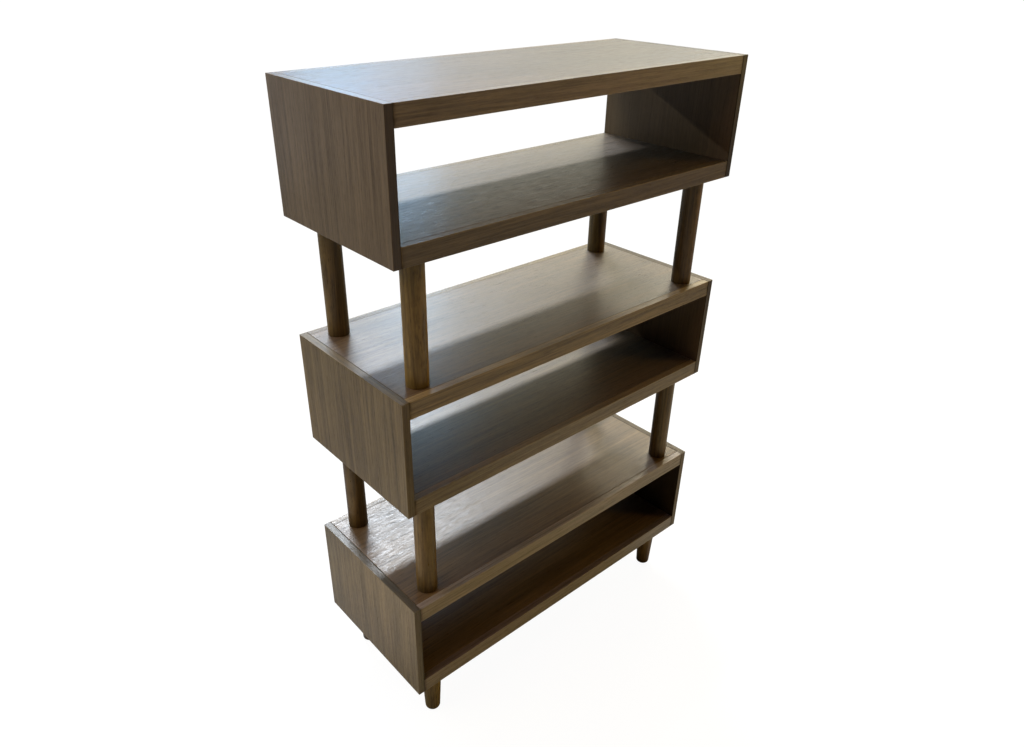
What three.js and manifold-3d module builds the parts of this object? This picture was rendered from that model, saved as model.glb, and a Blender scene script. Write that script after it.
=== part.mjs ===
// Bookcase of three open boxes stacked on round posts, standing on short tapered feet.
//
// Units: millimetres, +Z up. The front faces -Y. The origin is on the floor, at the middle of the footprint.
// Each box is four boards: two full-height end panels, and a thick top and bottom panel held between them by
// tongues in stopped grooves. Every top and bottom panel carries a solid lipping along its front and back edge.
// Posts screw down onto the box below with a double-ended screw, and hold the box above on a locating pin.

import * as THREE from 'three';
import { mergeVertices } from 'three/addons/utils/BufferGeometryUtils.js';
import Module from 'manifold-3d';

const wasm = await Module();
wasm.setup();

// ---------------------------------------------------------------- driving dimensions
const WIDTH = 1000;          // overall width, X
const DEPTH = 405;           // overall depth, Y
const BOX_H = 280;           // height of each box
const GAP = 275;             // free height between one box and the next: the length of a post
const FOOT_H = 147;          // floor to the underside of the lowest box, glide included

const PANEL_T = 40;          // thickness of top and bottom panels and their lippings
const END_T = 18;            // thickness of the end panels
const LIP = 18;              // width of the front and back lippings
const EASE = 1.2;            // eased arris on every board; two together make the fine V line at a joint

const TONGUE_T = 12;         // tongue on each end of a top or bottom panel: thickness,
const TONGUE_L = 8;          //   length into the end panel,
const TONGUE_STOP = 26;      //   and how far it stops short of the panel's front and back edges
const LIP_TONGUE_T = 8;      // tongue along the front and back edges of a panel, under the lippings
const LIP_TONGUE_L = 6;
const FIT = 0.3;             // clearance round tongues, screws and pins

const POST_D = 49;           // turned posts
const POST_X = 426.5;        // post and foot centres, from the middle
const POST_Y = 152;
const POST_EASE = 1.5;

const FOOT_TOP_D = 51;       // feet taper downwards and end in a rounded toe
const FOOT_BOTTOM_D = 39;
const FOOT_TOE_R = 6;
const GLIDE_T = 3;           // nailed glide under each foot
const GLIDE_D = 22;
const NAIL_D = 2.6;
const NAIL_L = 16;

const SCREW_D = 8;           // double-ended wood screw: half in the post or foot, half in the panel
const SCREW_L = 70;
const SCREW_IN_PANEL = 30;
const PIN_D = 10;            // locating pin: lower half in the post, upper half in the panel above
const PIN_L = 50;
const PIN_IN_PANEL = 25;

const ROUND = 24;            // sides of posts and feet
const ROUND_SMALL = 10;      // sides of screws, pins and their holes

// ---------------------------------------------------------------- heights
const Z0 = [FOOT_H, FOOT_H + BOX_H + GAP, FOOT_H + 2 * (BOX_H + GAP)];   // undersides of the boxes
const INNER_X = WIDTH / 2 - END_T;       // inner face of an end panel
const CORE_Y = DEPTH / 2 - LIP;          // front and back faces of a panel's core

// ---------------------------------------------------------------- materials
const wood = (color, roughness = 0.45) =>
  new THREE.MeshStandardMaterial({ color, roughness, metalness: 0 });
const COLOURS = { end: 0x5c5042, panel: 0x5b4c3a, lipping: 0x4b3b29, post: 0x553f27, foot: 0x46371f };
const steel = () => new THREE.MeshStandardMaterial({ color: 0xa7a9ac, roughness: 0.35, metalness: 1 });
const glideMaterial = () => new THREE.MeshStandardMaterial({ color: 0x2b2825, roughness: 0.6, metalness: 0 });

// ---------------------------------------------------------------- solids
function positionsOnly(geometry) {
  const g = geometry.clone();
  g.deleteAttribute('normal');
  g.deleteAttribute('uv');
  return mergeVertices(g, 1e-4);
}

function toSolid(geometry) {
  const g = positionsOnly(geometry);
  return new wasm.Manifold(new wasm.Mesh({
    numProp: 3,
    vertProperties: Float32Array.from(g.attributes.position.array),
    triVerts: Uint32Array.from(g.index.array),
  }));
}

function toGeometry(solid) {
  const m = solid.getMesh();
  const g = new THREE.BufferGeometry();
  g.setAttribute('position', new THREE.BufferAttribute(Float32Array.from(m.vertProperties), 3));
  g.setIndex(new THREE.BufferAttribute(Uint32Array.from(m.triVerts), 1));
  g.computeVertexNormals();
  return g;
}

// A rectangle with its four corners cut back by c, centred on the origin.
function easedRectangle(w, h, c) {
  const x = w / 2, y = h / 2, s = new THREE.Shape();
  s.moveTo(-x + c, -y);
  s.lineTo(x - c, -y); s.lineTo(x, -y + c);
  s.lineTo(x, y - c); s.lineTo(x - c, y);
  s.lineTo(-x + c, y); s.lineTo(-x, y - c);
  s.lineTo(-x, -y + c);
  s.closePath();
  return s;
}

// A board of size dx, dy, dz about its own centre, every arris eased by c.
function board(dx, dy, dz, c = EASE) {
  const g = new THREE.ExtrudeGeometry(easedRectangle(dx - 2 * c, dy - 2 * c, c * 0.6), {
    depth: dz - 2 * c, bevelEnabled: true, bevelThickness: c, bevelSize: c, bevelOffset: 0, bevelSegments: 1,
  });
  g.translate(0, 0, -(dz - 2 * c) / 2);
  return g;
}

// A plain block for cutting or joining, from its lowest to its highest corner.
function block(x0, y0, z0, x1, y1, z1) {
  const g = new THREE.BoxGeometry(x1 - x0, y1 - y0, z1 - z0);
  g.translate((x0 + x1) / 2, (y0 + y1) / 2, (z0 + z1) / 2);
  return g;
}

// A round hole cutter along Z, at (x, y), between two heights.
function drill(x, y, z0, z1, d) {
  const g = new THREE.CylinderGeometry(d / 2, d / 2, z1 - z0, ROUND_SMALL);
  g.rotateX(Math.PI / 2);
  g.translate(x, y, (z0 + z1) / 2);
  return g;
}

// Turned piece about +Z from a profile of [radius, height] points that starts and ends on the axis.
function turned(profile, sides) {
  const g = new THREE.LatheGeometry(profile.map(([r, z]) => new THREE.Vector2(r, z)), sides);
  g.rotateX(Math.PI / 2);        // the lathe's +Y axis becomes +Z
  return toGeometry(toSolid(g));
}

// ---------------------------------------------------------------- the pieces
const CORE_LENGTH = 2 * INNER_X;
const CORE_DEPTH = 2 * CORE_Y;
const TONGUE_Y = CORE_Y - TONGUE_STOP;

// Core of a top or bottom panel. holes: list of {face: 'top' | 'under', d, deep}.
function panelCore(holes) {
  let s = toSolid(board(CORE_LENGTH, CORE_DEPTH, PANEL_T, 0.5));
  const overlap = 4;
  for (const side of [-1, 1]) {
    const x0 = side * (INNER_X - overlap), x1 = side * (INNER_X + TONGUE_L);
    s = s.add(toSolid(block(Math.min(x0, x1), -TONGUE_Y, -TONGUE_T / 2, Math.max(x0, x1), TONGUE_Y, TONGUE_T / 2)));
    const y0 = side * (CORE_Y - overlap), y1 = side * (CORE_Y + LIP_TONGUE_L);
    s = s.add(toSolid(block(-INNER_X + 20, Math.min(y0, y1), -LIP_TONGUE_T / 2, INNER_X - 20, Math.max(y0, y1), LIP_TONGUE_T / 2)));
  }
  for (const { face, d, deep } of holes) {
    const z = PANEL_T / 2;
    for (const x of [-POST_X, POST_X]) for (const y of [-POST_Y, POST_Y]) {
      s = s.subtract(toSolid(face === 'top' ? drill(x, y, z - deep, z + 2, d) : drill(x, y, -z - 2, -z + deep, d)));
    }
  }
  return toGeometry(s);
}

// Lipping along a front edge, its groove towards +Y; turned about for the back.
function lipping() {
  let s = toSolid(board(CORE_LENGTH, LIP, PANEL_T, EASE));
  s = s.subtract(toSolid(block(
    -INNER_X + 20 - FIT, LIP / 2 - LIP_TONGUE_L - FIT, -LIP_TONGUE_T / 2 - FIT,
    INNER_X - 20 + FIT, LIP / 2 + 2, LIP_TONGUE_T / 2 + FIT)));
  return toGeometry(s);
}

// End panel with two stopped grooves in its inner face, which looks towards side * -X.
function endPanel(side) {
  let s = toSolid(board(END_T, DEPTH, BOX_H, EASE));
  for (const z of [-(BOX_H - PANEL_T) / 2, (BOX_H - PANEL_T) / 2]) {
    const face = -side * END_T / 2, deep = face + side * (TONGUE_L + FIT), out = face - side * 2;
    s = s.subtract(toSolid(block(
      Math.min(deep, out), -TONGUE_Y - FIT, z - TONGUE_T / 2 - FIT,
      Math.max(deep, out), TONGUE_Y + FIT, z + TONGUE_T / 2 + FIT)));
  }
  return toGeometry(s);
}

const HOLE_SCREW = SCREW_D / 2 + FIT;
const HOLE_PIN = PIN_D / 2 + FIT;

// Post: eased at both ends, a blind hole up from its foot for the screw and down from its head for the pin.
function post() {
  const r = POST_D / 2, e = POST_EASE;
  return turned([
    [0, SCREW_L - SCREW_IN_PANEL + 1], [HOLE_SCREW, SCREW_L - SCREW_IN_PANEL + 1], [HOLE_SCREW, 0],
    [r - e, 0], [r, e], [r, GAP - e], [r - e, GAP],
    [HOLE_PIN, GAP], [HOLE_PIN, GAP - (PIN_L - PIN_IN_PANEL) - 1], [0, GAP - (PIN_L - PIN_IN_PANEL) - 1],
  ], ROUND);
}

// Foot: straight taper, rounded toe, blind hole for the screw at its head and for the glide's nail underneath.
function foot() {
  const top = FOOT_H, low = GLIDE_T, rt = FOOT_TOP_D / 2, rb = FOOT_BOTTOM_D / 2, toe = [];
  for (const a of [0, 30, 60, 90]) {
    const t = THREE.MathUtils.degToRad(a);
    toe.push([rb - FOOT_TOE_R + FOOT_TOE_R * Math.sin(t), low + FOOT_TOE_R - FOOT_TOE_R * Math.cos(t)]);
  }
  return turned([
    [0, low + NAIL_L + 1], [NAIL_D / 2 + FIT, low + NAIL_L + 1], [NAIL_D / 2 + FIT, low],
    ...toe,
    [rt, top - 1], [rt - 1, top],
    [HOLE_SCREW, top], [HOLE_SCREW, top - (SCREW_L - SCREW_IN_PANEL) - 1], [0, top - (SCREW_L - SCREW_IN_PANEL) - 1],
  ], ROUND);
}

// Glide: a low button with its nail, from the floor up.
function glide() {
  const r = GLIDE_D / 2;
  return turned([
    [0, 0], [r - 1, 0], [r, 1], [r, GLIDE_T], [NAIL_D / 2, GLIDE_T],
    [NAIL_D / 2, GLIDE_T + NAIL_L - 3], [0, GLIDE_T + NAIL_L],
  ], 16);
}

// Double-ended screw, pointed both ways, with a plain waist; the middle of the joint is at z = 0.
function screw() {
  const r = SCREW_D / 2, up = SCREW_L - SCREW_IN_PANEL, down = -SCREW_IN_PANEL;
  return turned([[0, down], [r, down + 6], [r, -3], [r - 1, -2], [r - 1, 2], [r, 3], [r, up - 6], [0, up]], ROUND_SMALL);
}

// Locating pin, its ends chamfered; the underside of the box above is at z = 0.
function pin() {
  const r = PIN_D / 2, up = PIN_IN_PANEL - 1, down = up - PIN_L + 1;
  return turned([[0, down], [r - 1.2, down], [r, down + 1.2], [r, up - 1.2], [r - 1.2, up], [0, up]], ROUND_SMALL);
}

// ---------------------------------------------------------------- assembly
const bookcase = new THREE.Group();

function place(parent, name, geometry, material, x = 0, y = 0, z = 0) {
  const m = new THREE.Mesh(geometry, material);
  m.name = name;
  m.position.set(x, y, z);
  parent.add(m);
  return m;
}

const TIERS = ['bottom', 'middle', 'top'];
const CORNERS = [['front_left', -1, -1], ['front_right', 1, -1], ['back_left', -1, 1], ['back_right', 1, 1]];

TIERS.forEach((tier, i) => {
  const box = new THREE.Group();
  box.position.z = Z0[i];
  bookcase.add(box);

  place(box, `${tier}_box_left_end`, endPanel(-1), wood(COLOURS.end), -(WIDTH - END_T) / 2, 0, BOX_H / 2);
  place(box, `${tier}_box_right_end`, endPanel(1), wood(COLOURS.end), (WIDTH - END_T) / 2, 0, BOX_H / 2);

  const under = i === 0
    ? { face: 'under', d: SCREW_D + 2 * FIT, deep: SCREW_IN_PANEL + 1 }
    : { face: 'under', d: PIN_D + 2 * FIT, deep: PIN_IN_PANEL };
  const over = { face: 'top', d: SCREW_D + 2 * FIT, deep: SCREW_IN_PANEL + 1 };
  place(box, `${tier}_box_bottom_panel`, panelCore([under]), wood(COLOURS.panel, 0.4), 0, 0, PANEL_T / 2);
  place(box, `${tier}_box_top_panel`, panelCore(i < 2 ? [over] : []), wood(COLOURS.panel, 0.4), 0, 0, BOX_H - PANEL_T / 2);

  for (const [which, z] of [['bottom', PANEL_T / 2], ['top', BOX_H - PANEL_T / 2]]) {
    place(box, `${tier}_box_${which}_front_lipping`, lipping(), wood(COLOURS.lipping), 0, -(DEPTH - LIP) / 2, z);
    place(box, `${tier}_box_${which}_back_lipping`, lipping(), wood(COLOURS.lipping), 0, (DEPTH - LIP) / 2, z)
      .rotation.z = Math.PI;
  }
});

// Posts stand on the bottom and the middle box.
[['lower', 0], ['upper', 1]].forEach(([row, i]) => {
  const stand = new THREE.Group();
  stand.position.z = Z0[i] + BOX_H;
  bookcase.add(stand);
  for (const [corner, sx, sy] of CORNERS) {
    const x = sx * POST_X, y = sy * POST_Y;
    place(stand, `${row}_post_${corner}`, post(), wood(COLOURS.post, 0.42), x, y, 0);
    place(stand, `${row}_post_screw_${corner}`, screw(), steel(), x, y, 0);
    place(stand, `${row}_post_pin_${corner}`, pin(), steel(), x, y, GAP);
  }
});

// Feet under the bottom box.
for (const [corner, sx, sy] of CORNERS) {
  const x = sx * POST_X, y = sy * POST_Y;
  place(bookcase, `foot_${corner}`, foot(), wood(COLOURS.foot, 0.45), x, y, 0);
  place(bookcase, `foot_glide_${corner}`, glide(), glideMaterial(), x, y, 0);
  place(bookcase, `foot_screw_${corner}`, screw(), steel(), x, y, FOOT_H).rotation.x = Math.PI;
}

export default bookcase;
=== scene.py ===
"""Looks of the open bookcase: three dark stained wooden boxes stacked on round posts, on tapered feet.

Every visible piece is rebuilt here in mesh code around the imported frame, in metres, at the CAD's own places.
"""
import math

import bmesh
import bpy
import numpy as np
from mathutils import Matrix, Vector


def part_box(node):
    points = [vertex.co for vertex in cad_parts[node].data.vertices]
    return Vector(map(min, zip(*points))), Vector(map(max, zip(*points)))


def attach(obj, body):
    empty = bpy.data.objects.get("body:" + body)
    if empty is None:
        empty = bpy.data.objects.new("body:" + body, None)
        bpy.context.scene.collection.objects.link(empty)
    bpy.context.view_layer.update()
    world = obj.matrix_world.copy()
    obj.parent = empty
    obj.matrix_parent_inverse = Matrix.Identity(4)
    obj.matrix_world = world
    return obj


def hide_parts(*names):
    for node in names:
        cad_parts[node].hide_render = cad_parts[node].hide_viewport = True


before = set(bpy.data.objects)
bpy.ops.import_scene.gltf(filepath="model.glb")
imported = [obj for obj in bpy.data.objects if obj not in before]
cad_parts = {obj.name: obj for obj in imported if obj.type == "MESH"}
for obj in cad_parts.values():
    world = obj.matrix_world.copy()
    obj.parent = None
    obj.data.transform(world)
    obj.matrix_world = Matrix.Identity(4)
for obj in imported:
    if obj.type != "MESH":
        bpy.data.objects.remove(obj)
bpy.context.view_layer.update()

MM = 0.001

# ------------------------------------------------------------------ joinery, as in the CAD
TONGUE_T, TONGUE_L, TONGUE_STOP = 12 * MM, 8 * MM, 26 * MM
LIP_TONGUE_T, LIP_TONGUE_L, LIP_TONGUE_STOP = 8 * MM, 6 * MM, 20 * MM
FIT = 0.3 * MM
SCREW_D, SCREW_L, SCREW_IN_PANEL = 8 * MM, 70 * MM, 30 * MM
PIN_D, PIN_L, PIN_IN_PANEL = 10 * MM, 50 * MM, 25 * MM
ARRIS = 0.8 * MM  # rounding of the outer arrises
JOINT_ARRIS = 0.8 * MM  # rounding beside a butt joint between panel and end
LIP_ARRIS = 0.45 * MM  # rounding at the glued line between core and lipping
GAP = 0.22 * MM  # hairline left open at the bottom of each joint

# How each board took the stain: its colour against its kind's usual one. No two boards of the real thing match. The
# factors also carry painted light: the lower boxes' left ends lighter, the front-left upper post lighter as if lit from
# the left, the bottom box's right end darker as painted shade.
STAIN_AND_LIGHT = {
    "top_box_left_end": (0.92, 0.95, 0.99),
    "middle_box_left_end": (1.16, 1.17, 0.96),
    "bottom_box_left_end": (1.27, 1.41, 1.52),
    "top_box_right_end": (0.90, 0.84, 0.74),
    "middle_box_right_end": (0.90, 0.80, 0.65),
    "bottom_box_right_end": (0.62, 0.56, 0.45),
    "top_box_top_front_lipping": (1.18, 1.26, 1.52),
    "top_box_bottom_front_lipping": (0.88, 0.91, 0.93),
    "middle_box_top_front_lipping": (1.68, 1.75, 1.60),
    "middle_box_bottom_front_lipping": (1.22, 1.28, 1.36),
    "bottom_box_top_front_lipping": (1.40, 1.68, 2.80),
    "bottom_box_bottom_front_lipping": (0.96, 1.13, 2.25),
    "middle_box_top_back_lipping": (1.20, 1.22, 1.20),
    "bottom_box_top_back_lipping": (1.20, 1.24, 1.35),
    "bottom_box_bottom_back_lipping": (1.05, 1.10, 1.30),
    "upper_post_front_left": (1.66, 1.76, 1.62),
    "upper_post_back_left": (0.88, 0.92, 1.00),
    "lower_post_back_left": (0.80, 0.80, 0.72),
    "upper_post_back_right": (0.85, 0.85, 0.85),
    "lower_post_front_left": (1.22, 1.24, 1.28),
    "upper_post_front_right": (0.98, 0.95, 0.90),
    "foot_front_left": (1.50, 1.78, 2.40),
    "bottom_box_top_panel": (1.14, 1.06, 0.88),
}
# The cut edges of the end panels against the panel's own colour: front and back, then top and bottom. The top and
# bottom values also carry painted light: lighter as a painted highlight on the upper box's left end, darker as painted
# shade on the lower boxes' left ends.
EDGE_TONE_AND_LIGHT = {
    "bottom_box_left_end": ((0.52, 0.57, 0.90), 0.45),
    "bottom_box_right_end": (1.00, 0.90),
    "middle_box_left_end": ((0.90, 0.90, 0.96), 0.80),
    "middle_box_right_end": (0.60, 0.65),
    "top_box_left_end": ((0.46, 0.36, 0.28), 1.2),
    "top_box_right_end": (0.22, 0.60),
}
# Painted shade: the face inside the box darker than the one outside, where the box shades it.
INNER_SHADE = {"bottom_box_right_end": 0.35}
# Boards with a quieter figure than the rest.
FIGURE = {"top_box_left_end": 0.6}
# Boards with paler arrises than the rest: partly rubbed wear, partly a painted highlight along the rounded edge.
WEAR_AND_HIGHLIGHT = {"top_box_bottom_front_lipping": 1.6}

TIERS = ("bottom", "middle", "top")
CORNERS = ("front_left", "front_right", "back_left", "back_right")


# ------------------------------------------------------------------ mesh helpers
def cells(xs, ys, zs, filled):
    """A closed mesh round the grid cells for which filled(i, j, k) is true."""
    bm = bmesh.new()
    made = {}

    def vert(i, j, k):
        if (i, j, k) not in made:
            made[(i, j, k)] = bm.verts.new((xs[i], ys[j], zs[k]))
        return made[(i, j, k)]

    nx, ny, nz = len(xs) - 1, len(ys) - 1, len(zs) - 1
    on = {(i, j, k) for i in range(nx) for j in range(ny) for k in range(nz) if filled(i, j, k)}
    sides = (
        ((-1, 0, 0), ((0, 0, 0), (0, 0, 1), (0, 1, 1), (0, 1, 0))),
        ((1, 0, 0), ((1, 0, 0), (1, 1, 0), (1, 1, 1), (1, 0, 1))),
        ((0, -1, 0), ((0, 0, 0), (1, 0, 0), (1, 0, 1), (0, 0, 1))),
        ((0, 1, 0), ((0, 1, 0), (0, 1, 1), (1, 1, 1), (1, 1, 0))),
        ((0, 0, -1), ((0, 0, 0), (0, 1, 0), (1, 1, 0), (1, 0, 0))),
        ((0, 0, 1), ((0, 0, 1), (1, 0, 1), (1, 1, 1), (0, 1, 1))),
    )
    for i, j, k in sorted(on):
        for (di, dj, dk), corners in sides:
            if (i + di, j + dj, k + dk) not in on:
                bm.faces.new([vert(i + a, j + b, k + c) for a, b, c in corners])
    bm.normal_update()
    return bm


def convex_edges(bm, wanted):
    """Square outward edges whose two face normals and middle pass wanted(middle, normal_a, normal_b)."""
    out = []
    for e in bm.edges:
        if len(e.link_faces) != 2:
            continue
        a, b = e.link_faces
        if abs(a.normal.dot(b.normal)) > 0.3:
            continue
        mid = (e.verts[0].co + e.verts[1].co) / 2
        if (b.calc_center_median() - mid).dot(a.normal) > -1e-9:
            continue
        if wanted(mid, a.normal, b.normal):
            out.append(e)
    return out


def round_edges(bm, edges, size, segments=3):
    if edges:
        bmesh.ops.bevel(
            bm,
            geom=edges,
            offset=size,
            offset_type="OFFSET",
            segments=segments,
            profile=0.5,
            affect="EDGES",
            clamp_overlap=False,
        )
        bm.normal_update()


def near(a, b, tol=2e-5):
    return abs(a - b) < tol


def finish_board(bm, name, uv_of, box, joint_grime_and_shade, material, node, seed, edging=None):
    """Turns a board's bmesh into a piece: rounded normals on the arrises, grain coordinates, paler arrises (wear and
    painted highlight), darker joints (grime and painted shade), and board colours with painted light in them.
    """
    stain_and_light = np.array(STAIN_AND_LIGHT.get(node, (1.0, 1.0, 1.0)))
    front_edge, top_tone_and_light = EDGE_TONE_AND_LIGHT.get(node, (1.0, 1.0))
    inner_shade = INNER_SHADE.get(node, 1.0)
    within = node.endswith("_end") * (-1 if "left" in node else 1)
    me = bpy.data.meshes.new(name)
    bm.to_mesh(me)
    bm.free()
    n = len(me.vertices)
    co = np.empty(n * 3)
    me.vertices.foreach_get("co", co)
    co = co.reshape(-1, 3)
    me.polygons.foreach_set("use_smooth", [True] * len(me.polygons))

    # Corner normals: flat faces keep theirs, and a rounded arris turns from one flat face to the next.
    flat_at = [dict() for _ in range(n)]
    bent_at = [[] for _ in range(n)]
    flats = []
    for p in me.polygons:
        nn = np.array(p.normal)
        flat = np.abs(nn).max() > 0.9999
        flats.append(flat)
        for v in p.vertices:
            if flat:
                flat_at[v][tuple(np.round(nn).astype(int))] = nn
            else:
                bent_at[v].append(nn * max(p.area, 1e-12))
    normals = []
    for p, flat in zip(me.polygons, flats):
        nn = np.array(p.normal)
        for v in p.vertices:
            if flat:
                normals.append(nn)
            elif len(flat_at[v]) == 1:
                normals.append(next(iter(flat_at[v].values())))
            else:
                s = np.sum(bent_at[v], axis=0)
                normals.append(s / max(np.linalg.norm(s), 1e-12))
    me.normals_split_custom_set([tuple(x) for x in normals])

    # Grain coordinates in metres: u along the grain, v across it.
    rng = np.random.default_rng(seed)
    du, dv = rng.uniform(0.0, 3.0), rng.uniform(0.0, 3.0)
    uv = me.uv_layers.new(name="grain")
    data = np.empty(len(me.loops) * 2)
    at = 0
    for p in me.polygons:
        axis = int(np.argmax(np.abs(np.array(p.normal) * np.array((1.0, 1.001, 1.002)))))
        for v in p.vertices:
            u, w = uv_of(axis, co[v])
            data[at], data[at + 1] = u + du, w + dv
            at += 2
    uv.data.foreach_set("uv", data)

    lo, hi = np.array(box[0]), np.array(box[1])
    d = np.sort(np.minimum(np.abs(co - lo), np.abs(hi - co)), axis=1)
    # Paler arrises: partly rubbed wear, partly a painted highlight along the rounded edge.
    wear_and_highlight = np.exp(-np.maximum(d[:, 1] - 0.4 * MM, 0) / (1.6 * MM)) * (d[:, 0] < 2 * MM) * WEAR_AND_HIGHLIGHT.get(node, 1.0)
    a = me.attributes.new("wear_and_highlight", "FLOAT", "POINT")
    a.data.foreach_set("value", wear_and_highlight.astype(np.float32))
    # Darker along the joints: partly grime in the joint, partly painted shade of the gap.
    a = me.attributes.new("joint", "FLOAT", "POINT")
    a.data.foreach_set("value", np.array([joint_grime_and_shade(c) for c in co], np.float32))
    a = me.attributes.new("tint", "FLOAT", "POINT")
    a.data.foreach_set("value", np.full(n, rng.uniform(-1, 1), np.float32))
    # Per-face colour factors: each board's own stain, with the painted light and shade of the tables above.
    a = me.attributes.new("stain_and_light", "FLOAT_VECTOR", "FACE")

    def face_stain_and_light(normal):
        if abs(normal.y) > 0.8:
            return stain_and_light * front_edge
        if abs(normal.z) > 0.8:
            return stain_and_light * top_tone_and_light
        return stain_and_light * (inner_shade if normal.x * within < -0.8 else 1.0)

    rows = [face_stain_and_light(p.normal) for p in me.polygons]
    a.data.foreach_set("vector", np.array(rows, np.float32).ravel())

    # The veneer inside the boxes has the quieter figure.
    a = me.attributes.new("figure", "FLOAT", "FACE")
    a.data.foreach_set("value", [0.35 if p.normal.x * within < -0.8 else FIGURE.get(node, 1.0) for p in me.polygons])

    me.materials.append(material)
    if edging is not None:
        me.materials.append(edging)
        for p in me.polygons:
            p.material_index = 1 if abs(p.normal.x) < 0.6 else 0
    o = bpy.data.objects.new(name, me)
    bpy.context.scene.collection.objects.link(o)
    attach(o, "root")
    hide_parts(node)
    return o


def grid(*values):
    """Sorted, without near repeats."""
    out = []
    for v in sorted(values):
        if not out or v - out[-1] > 2e-5:
            out.append(v)
    return out


def inside(lo, hi, *pairs):
    """lo and hi with support lines a few millimetres inside each."""
    out = [lo, hi]
    for off in (2.6 * MM, 6 * MM, 14 * MM):
        if hi - lo > 2.2 * off:
            out += [lo + off, hi - off]
    out += list(pairs)
    return grid(*out)


# ------------------------------------------------------------------ boards
def end_panel(node, side, material, edging, seed):
    """Full-height end panel: edges banded on all sides, two stopped grooves in its inner face."""
    lo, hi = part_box(node)
    inner = hi.x if side < 0 else lo.x
    outer = lo.x if side < 0 else hi.x
    depth = hi.y - lo.y
    core = depth / 2 - 18 * MM - TONGUE_STOP + FIT
    t = 40 * MM
    slots = [(lo.z + t / 2 - TONGUE_T / 2 - FIT, lo.z + t / 2 + TONGUE_T / 2 + FIT)]
    slots.append((hi.z - t / 2 - TONGUE_T / 2 - FIT, hi.z - t / 2 + TONGUE_T / 2 + FIT))
    deep = inner + side * (TONGUE_L + FIT)
    faint = 0.5 if hi.z > 1.5 else 1.0  # the painted joint shade is half as strong on the uppermost box
    xs = grid(lo.x, hi.x, deep, (outer + deep) / 2, inner + side * 2 * MM, inner + side * 3.5 * MM)
    ys = inside(lo.y, hi.y, -core, core)
    zs = inside(lo.z, hi.z, *[v for s in slots for v in s], lo.z + t, hi.z - t)

    def filled(i, j, k):
        x, y, z = ((a[q] + a[q + 1]) / 2 for a, q in ((xs, i), (ys, j), (zs, k)))
        groove = abs(y) < core and any(a < z < b for a, b in slots)
        return not (groove and (x - deep) * side < 0)

    bm = cells(xs, ys, zs, filled)
    outer_edges = convex_edges(
        bm,
        lambda m, a, b: sum(near(m[q], lo[q]) or near(m[q], hi[q]) for q in range(3)) >= 2,
    )
    round_edges(bm, outer_edges, ARRIS, 3)
    round_edges(
        bm,
        convex_edges(bm, lambda m, a, b: near(m.x, inner) and abs(m.y) < core + 1e-4),
        0.3 * MM,
        1,
    )

    def uv_of(axis, c):
        if axis == 2:
            return c[1] + 7.0, c[0] * 1.0
        return c[2], c[0] * side + c[1]

    def joint_grime_and_shade(c):
        # Darker at the inner arris beside the top and bottom panels: partly grime in the joint, partly painted shade of
        # the gap.
        from_inner = abs(c[0] - inner)
        beside = c[2] < lo.z + t + 1 * MM or c[2] > hi.z - t - 1 * MM
        if not beside:
            return 0.0
        on_edge = min(abs(c[1] - lo.y), abs(c[1] - hi.y)) < 2.2 * MM
        on_face = min(abs(c[2] - lo.z), abs(c[2] - hi.z)) < 2.2 * MM
        a = 1.1 * math.exp(-max(from_inner - 0.4 * MM, 0) / (1.1 * MM)) if on_edge else 0.0
        b = faint * math.exp(-from_inner / (0.9 * MM)) if on_face else 0.0
        return max(a, b)

    finish_board(bm, node + "_board", uv_of, (lo, hi), joint_grime_and_shade, material, node, seed, edging)


def panel_core(node, holes_over, holes_under, material, seed):
    """Core of a top or bottom panel, with a tongue on each side."""
    lo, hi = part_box(node)
    cx, cy = hi.x - TONGUE_L, hi.y - LIP_TONGUE_L
    x1, y1 = cx - GAP, cy - GAP / 2
    zc = (lo.z + hi.z) / 2
    ty = cy - TONGUE_STOP
    lx = cx - LIP_TONGUE_STOP
    xs = inside(-x1, x1, -cx - TONGUE_L, cx + TONGUE_L, -lx, lx)
    ys = inside(-y1, y1, -cy - LIP_TONGUE_L, cy + LIP_TONGUE_L, -ty, ty)
    zs = inside(lo.z, hi.z, zc - TONGUE_T / 2, zc + TONGUE_T / 2, zc - LIP_TONGUE_T / 2, zc + LIP_TONGUE_T / 2)

    def filled(i, j, k):
        x, y, z = ((a[q] + a[q + 1]) / 2 for a, q in ((xs, i), (ys, j), (zs, k)))
        if abs(x) < x1 and abs(y) < y1:
            return True
        if abs(x) > x1 and abs(y) < ty and abs(z - zc) < TONGUE_T / 2:
            return True
        return abs(y) > y1 and abs(x) < lx and abs(z - zc) < LIP_TONGUE_T / 2

    bm = cells(xs, ys, zs, filled)

    def ends(m, a, b):
        return near(abs(m.x), x1) and (near(m.z, lo.z) or near(m.z, hi.z) or near(abs(m.y), y1))

    def long(m, a, b):
        return near(abs(m.y), y1) and (near(m.z, lo.z) or near(m.z, hi.z))

    round_edges(bm, convex_edges(bm, ends), JOINT_ARRIS, 3)
    round_edges(bm, convex_edges(bm, long), LIP_ARRIS, 2)
    tongues = convex_edges(
        bm, lambda m, a, b: near(abs(m.x), cx + TONGUE_L) or near(abs(m.y), cy + LIP_TONGUE_L)
    )
    round_edges(bm, tongues, 0.4 * MM, 1)

    def uv_of(axis, c):
        return c[0], c[1] + c[2]

    # Darker beside the joints with the end panels and lippings: partly grime, partly painted shade of the gap.
    def joint_grime_and_shade(c):
        if min(abs(c[2] - lo.z), abs(c[2] - hi.z)) > 2.2 * MM:
            return 0.0
        a = math.exp(-max(x1 - abs(c[0]), 0) / (0.9 * MM))
        b = 0.8 * math.exp(-max(y1 - abs(c[1]), 0) / (0.6 * MM))
        return max(a, b) * (0.5 if hi.z > 1.5 else 1.0)

    finish_board(
        bm, node + "_board", uv_of, ((-x1, -y1, lo.z), (x1, y1, hi.z)), joint_grime_and_shade, material, node, seed
    )


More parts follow.
